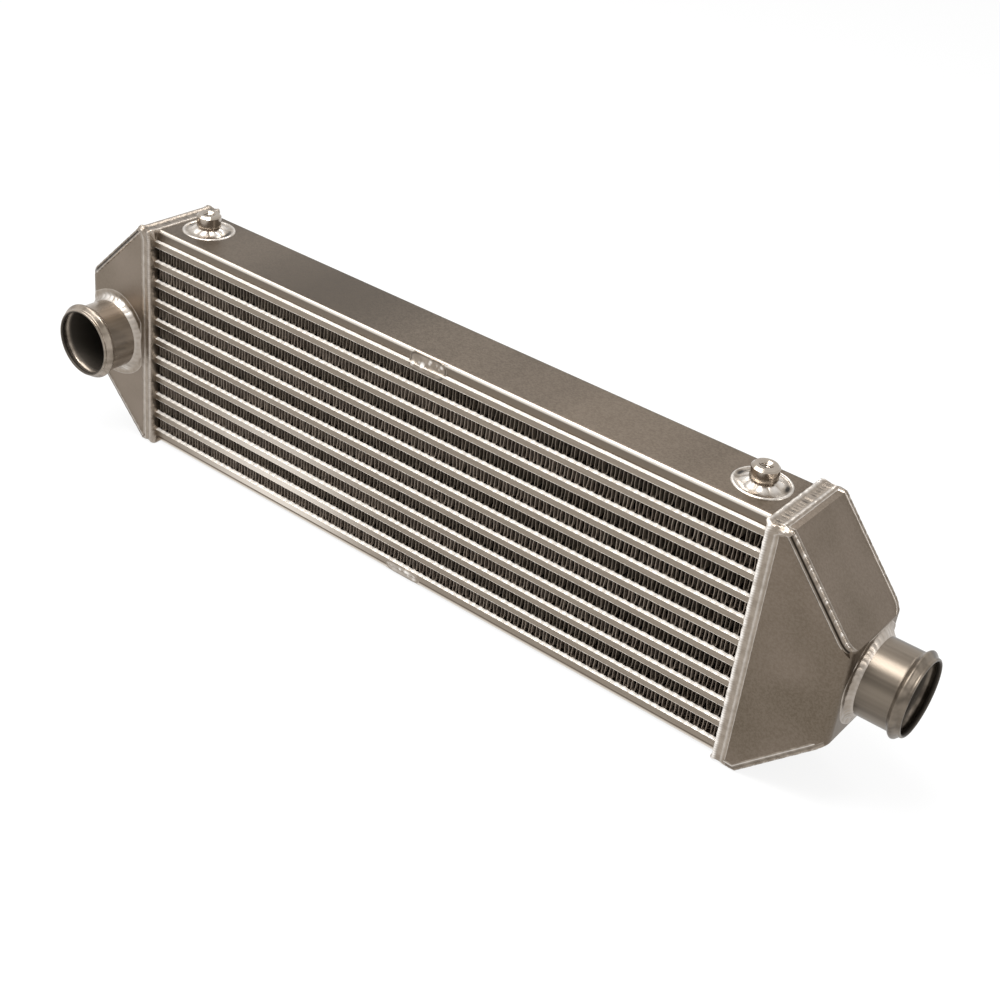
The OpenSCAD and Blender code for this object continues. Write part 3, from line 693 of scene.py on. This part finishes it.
def pipe_weld_grid(name):
    """Fillet round a pipe, on the tank's face and its round corner: a steep rippled bead that
    runs out into a low pad of overlapping rings. Its reach is cut off at the face's edges."""
    low, high = box_mm(name + "_pipe")
    wrap_low, wrap_high = box_mm(name + "_wrap")
    outlet = name == "outlet"
    across = 1 if outlet else 0
    centre = (low + high) / 2
    radius = (high[2] - low[2]) / 2 - PIPE_BEAD
    angle = np.linspace(0, 2 * math.pi, 361)[:-1, None]
    c, s = np.cos(angle), np.sin(angle)
    room = [wrap_high[across] - 0.5 - centre[across], centre[across] - wrap_low[across] - 0.5]
    if outlet:
        top, bottom = plate_line(name, True)[1], plate_line(name, False)[1]
        up, down = top[1] - centre[2] - 0.6, centre[2] - bottom[1] - 0.6
    else:
        up = down = 60.0  # the front face has no edge near
    limits = [room[0] / np.maximum(c, 0.01), room[1] / np.maximum(-c, 0.01),
              up / np.maximum(s, 0.01), down / np.maximum(-s, 0.01)]
    pad = 8.5 + 1.2 * wobble(angle[:, 0] * radius, 40)[:, None]
    reach = np.minimum.reduce([radius + pad, *limits])
    v = np.concatenate([np.linspace(0, 0.45, 9), np.linspace(0.5, 1, 8)])
    away = radius - 0.1 + (reach - radius) * v
    leg = away - radius
    travel = angle * radius
    steep = 3.9 * np.clip(1 - leg / 4.2, 0, 1) ** 1.35
    dimes = np.abs(np.sin(math.pi * (travel + 1.5 * wobble(travel[:, 0], 30)[:, None]
                                     - 0.32 * (leg - 2) ** 2) / 4.0)) ** 0.8
    rings = np.abs(np.sin(math.pi * (travel - 0.22 * (leg - 5) ** 2) / 7.5)) ** 0.6
    height = (steep + 0.45 * hump(leg, 2.2, 1.7) * dimes + 0.32 * hump(leg, 6, 2.4) * rings
              + 0.22 * (1 - v) + 0.05)
    height = height * np.clip((1 - v) / 0.08, 0, 1) - 0.25 * (v > 0.99)
    # Painted highlights where the light falls, at degrees round the pipe
    lit = sum(much * hump(np.cos(angle - math.radians(at)), 1.0, wide)
              for at, wide, much in ((80, 0.16, 0.8), (-65, 0.03, 0.7), (165, 0.1, 0.25)))
    lit = lit * (0.8 + 1.2 * wobble(travel[:, 0], 9)[:, None]) + 0.12
    # The outlet's weld gets less painted highlight than the inlet's
    lit = lit * (0.35 if outlet else 1.0)
    painted_light_and_dark = (lit * hump(leg, 2.2, 2.0) * (0.35 + 0.65 * dimes) + 0.12 * hump(v, 0.93, 0.05)
             + 0.12 * hump(leg, 0.4, 0.8))
    painted_light_and_dark = np.hstack([painted_light_and_dark, np.zeros((len(angle), 3))])
    first, up_z = centre[across] + away * c, centre[2] + away * s
    if outlet:
        face = wrap_high[0] - corner_drop(np.abs(first) - wrap_high[1] + WRAP_RADIUS)
        outer = np.stack([face + height, first, up_z], -1)
        inner = np.stack([face - 1.2, first, up_z], -1)
    else:
        face = wrap_low[1] + corner_drop(wrap_low[0] + WRAP_RADIUS - first)
        outer = np.stack([first, face - height, up_z], -1)
        inner = np.stack([first, face + 1.2, up_z], -1)
    return np.concatenate([outer, inner[:, ::-8]], 1), painted_light_and_dark


for name in ("inlet", "outlet"):
    node = name + "_pipe_weld"
    grid, painted_light_and_dark = pipe_weld_grid(name)
    piece = surface(node + "_ripples", [grid], 50, ring=True, painted_light_and_dark=[painted_light_and_dark])
    dress(piece, band_metal, "weld_metal", node)

# Bosses


def boss_weld_grid(node):
    """Cone of weld from a boss's neck out to the cover, hollow in section and laid in lumps,
    then a thin apron that ends in a raised ring where the metal stopped running. The apron is
    painted darker to the left and rear right of the boss, and the lumps and ring carry painted
    highlights."""
    low, high = box_mm(node)
    centre = (low + high) / 2
    angle = np.linspace(0, 2 * math.pi, 145)[:-1, None]
    v = np.linspace(0, 1, 33)
    lumps = np.abs(np.sin(4.5 * angle + 1.2 * (v - 0.4) ** 2 + wobble(angle[:, 0], 5)[:, None]))
    neck, apron = 6.8, 18.9
    reach = apron + 0.3 * wobble(angle[:, 0], 3)[:, None]
    away = neck + (reach - neck) * v
    cone = np.clip(1 - v / 0.72, 0, 1)
    height = (3.5 * cone**1.6 + 0.8 * lumps * hump(v, 0.3, 0.22)
              + 0.6 * np.clip(1 - ((v - 0.9) / 0.1) ** 2, 0, 1) + 0.08 * (v < 0.97))
    top = np.stack([centre[0] + away * np.cos(angle), centre[1] + away * np.sin(angle),
                    low[2] + height], -1)
    under = top[:, [-1, 0]]
    under[..., 2] = low[2] - 0.3
    darkening = sum(hump(np.cos(angle - math.radians(at)), 1.0, wide)
               for at, wide in ((175, 0.1), (25, 0.1)))
    # Painted highlights on the lumps and the ring; darker patches on the apron
    painted_light_and_dark = 0.05 + 0.55 * lumps * hump(v, 0.3, 0.25) + 0.4 * hump(v, 0.91, 0.09)
    painted_light_and_dark = painted_light_and_dark - (0.9 + 0.6 * wobble(angle[:, 0], 0.8)[:, None]) * darkening * hump(v, 0.68, 0.15)
    painted_light_and_dark = np.hstack([painted_light_and_dark, np.zeros((len(angle), 2))])
    return np.concatenate([top, under], 1), painted_light_and_dark


def thread_grid(node):
    """Ridge of a thread down a boss's bore: a triangle carried along a helix."""
    low, high = box_mm(node)
    centre = (low + high) / 2
    turns = 6.8
    angle = np.arange(0, 2 * math.pi * turns, math.radians(12))[:, None]
    away = 3.42 + np.array([0.0, -0.55, 0.0])
    z = high[2] - 1.8 - THREAD_PITCH * angle / (2 * math.pi) + np.array([-0.5, 0.0, 0.5])
    x = centre[0] + away * np.cos(angle)
    y = centre[1] + away * np.sin(angle)
    return np.stack([x, y, z], -1)


for side in ("left", "right"):
    node = side + "_boss_weld"
    grid, painted_light_and_dark = boss_weld_grid(node)
    piece = surface(node + "_lumps", [grid], 50, ring=True, painted_light_and_dark=[painted_light_and_dark])
    dress(piece, bead_metal, "weld_metal", node)
    low, high = box_mm(side + "_boss")
    boss_metal = turned_boss(side + "_boss_turned_aluminium", (low + high) / 2)
    dress(surface(side + "_boss_thread", [thread_grid(side + "_boss")], 20), boss_metal,
          "turned_tube")

# Tack welds


def tack_grid(node, upper):
    """Weld laid over the step from a bar to a cover's flange: the step's own height, smoothed,
    under a low cushion that thins out to a round outline, with scattered lumps. It runs on a
    little towards the cover's bend."""
    low, high = box_mm(node)
    bar_y = box_mm("charge_passage_01")[0][1]
    flange_y = box_mm("top_cover")[0][1]
    step_z, way = (passage_high[2], 1) if upper else (passage_low[2], -1)
    ends = np.sort([(low if upper else high)[2], (high if upper else low)[2] + 1.8 * way])
    x = np.linspace(low[0], high[0], 121)[:, None]
    z = np.linspace(*ends, 31)
    base = bar_y + (flange_y - bar_y) / (1 + np.exp(-(z - step_z) * way / 0.6))
    u = (x - (low[0] + high[0]) / 2) / ((high[0] - low[0]) / 2)
    w = (z - ends.mean()) / ((ends[1] - ends[0]) / 2)
    u = u + 0.05 * wobble(z, 6)
    room = np.clip(1 - np.abs(u) ** 5 - np.abs(w) ** 3, 0, 1)
    lumps = np.zeros_like(room)
    for _ in range(14):
        at = rng.uniform((low[0] + 3, ends[0] + 2), (high[0] - 3, ends[1] - 2))
        near = np.hypot(x - at[0], z - at[1]) / rng.uniform(1.3, 3.0)
        lumps = np.maximum(lumps, rng.uniform(0.4, 1) * np.sqrt(np.clip(1 - near**2, 0, 1)))
    thick = room**0.6 * (0.6 + 0.7 * lumps) - 0.3 * (room < 0.02)
    front = np.stack([x + 0 * z, base - thick, z + 0 * x], -1)
    back = np.stack([x + 0 * z, base + 0.4 + 0 * x, z + 0 * x], -1)
    # Painted highlights on the lumps, darker round the outline and between lumps; bottom tack
    # lighter
    painted_light_and_dark = 1.3 * lumps**4 * room - 0.55 * hump(room, 0.3, 0.22) - 0.2 * (1 - lumps) * room
    painted_light_and_dark = np.hstack([painted_light_and_dark + (0.0 if upper else 0.35), np.zeros((len(x), len(z[::6])))])
    return np.concatenate([front, back[:, ::-6]], 1), painted_light_and_dark


for node, upper in (("top_tack_weld", True), ("bottom_tack_weld", False)):
    grid, painted_light_and_dark = tack_grid(node, upper)
    piece = surface(node + "_lumps", [grid], 50, painted_light_and_dark=[painted_light_and_dark])
    dress(piece, band_metal, "weld_metal", node)

# The CAD nodes that stay in view

for node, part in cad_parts.items():
    if part.hide_render:
        continue
    if node.endswith("_boss"):
        material = bpy.data.materials[node + "_turned_aluminium"]
    elif "cover" in node:
        material = sheet_cover[node]
    elif "turbulator" in node:
        material = fin_dull
    elif "passage" in node or "end_bars" in node:
        material = bar_metal
    else:
        material = tank_sheet_lit_and_shaded[node.split("_")[0]]
    part.data.materials.clear()
    part.data.materials.append(material)

# Floor, world, lamps


def background(tree):
    """1 for what the camera sees, straight or in metal or glass."""
    straight = add(tree, "LightPath", give="Is Camera Ray")
    in_metal = add(tree, "LightPath", give="Is Glossy Ray")
    in_glass = add(tree, "LightPath", give="Is Transmission Ray")
    seen = add(tree, "Math", straight, in_metal, operation="MAXIMUM")
    return add(tree, "Math", seen, in_glass, operation="MAXIMUM")


def pale_floor():
    """Wide pale floor just under the object, white to the camera but for the object's shadow."""
    mesh = bpy.data.meshes.new("floor")
    reach = 6.0
    corners = [(-reach, -reach, 0), (reach, -reach, 0), (reach, reach, 0), (-reach, reach, 0)]
    mesh.from_pydata(corners, [], [(0, 1, 2, 3)])
    floor = bpy.data.objects.new("floor", mesh)
    floor.location.z = -0.4 * MM
    bpy.context.scene.collection.objects.link(floor)
    material = bpy.data.materials.new("pale_floor")
    tree = empty_tree(material)
    matt = add(tree, "BsdfDiffuse", "#F4F4F4")
    white = add(tree, "Emission", "#FFFFFF", 1.0)
    # The camera sees mostly plain white; the rest is the lit floor, which holds the shadow
    share = add(tree, "Math", background(tree), 0.86, operation="MULTIPLY")
    add(tree, "OutputMaterial", add(tree, "MixShader", share, matt, white))
    mesh.materials.append(material)
    floor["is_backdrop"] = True


def studio_world():
    """White where the camera sees it, and a plain soft light for everything else."""
    world = bpy.data.worlds.new("studio")
    bpy.context.scene.world = world
    tree = empty_tree(world)
    level = add(tree, "MapRange", background(tree), 0.0, 1.0, 0.8, 1.0)
    add(tree, "OutputWorld", add(tree, "Background", "#FFFFFF", level))


def softbox(name, place, target, size, power):
    """Area lamp at place that faces target, in metres and watts."""
    lamp = bpy.data.lights.new(name, "AREA")
    lamp.shape = "RECTANGLE"
    lamp.size, lamp.size_y = size
    lamp.energy = power
    holder = bpy.data.objects.new(name, lamp)
    holder.location = place
    aim = Vector(target) - Vector(place)
    holder.rotation_euler = aim.to_track_quat("-Z", "Y").to_euler()
    bpy.context.scene.collection.objects.link(holder)


def studio_camera():
    """Camera of the photograph: round the core's end at an azimuth and a height in degrees,
    turned about its own axis by roll."""
    azimuth, height, roll = (math.radians(a) for a in (34.18, 31.60, 7.43))
    distance, aim = 1044.87 * MM, Vector((51.45, 0.0, 78.68)) * MM
    back = Vector((math.cos(height) * math.sin(azimuth),
                      -math.cos(height) * math.cos(azimuth), math.sin(height)))
    lens = bpy.data.cameras.new("camera")
    lens.lens = 56.57
    lens.clip_start, lens.clip_end = 0.05, 50.0
    camera = bpy.data.objects.new("camera", lens)
    camera.location = aim + back * distance
    turn = Matrix.Rotation(roll, 3, "Z")
    camera.rotation_euler = ((-back).to_track_quat("-Z", "Y").to_matrix() @ turn).to_euler()
    bpy.context.scene.collection.objects.link(camera)
    bpy.context.scene.camera = camera


pale_floor()
studio_world()
softbox("key", (-0.85, -0.67, 1.5), (0.05, 0, 0.1), (1.3, 0.9), 18)
softbox("back", (-0.5, 0.9, 1.3), (-0.1, 0, 0.1), (0.7, 0.25), 4)
softbox("strip", (0.0, -0.39, 1.49), (0.34, 0, 0.08), (0.6, 0.6), 18)
softbox("side", (1.6, 0.2, 0.7), (0.3, 0, 0.1), (0.3, 0.9), 4)
studio_camera()
bpy.context.scene.view_settings.view_transform = "Standard"

low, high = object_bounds()
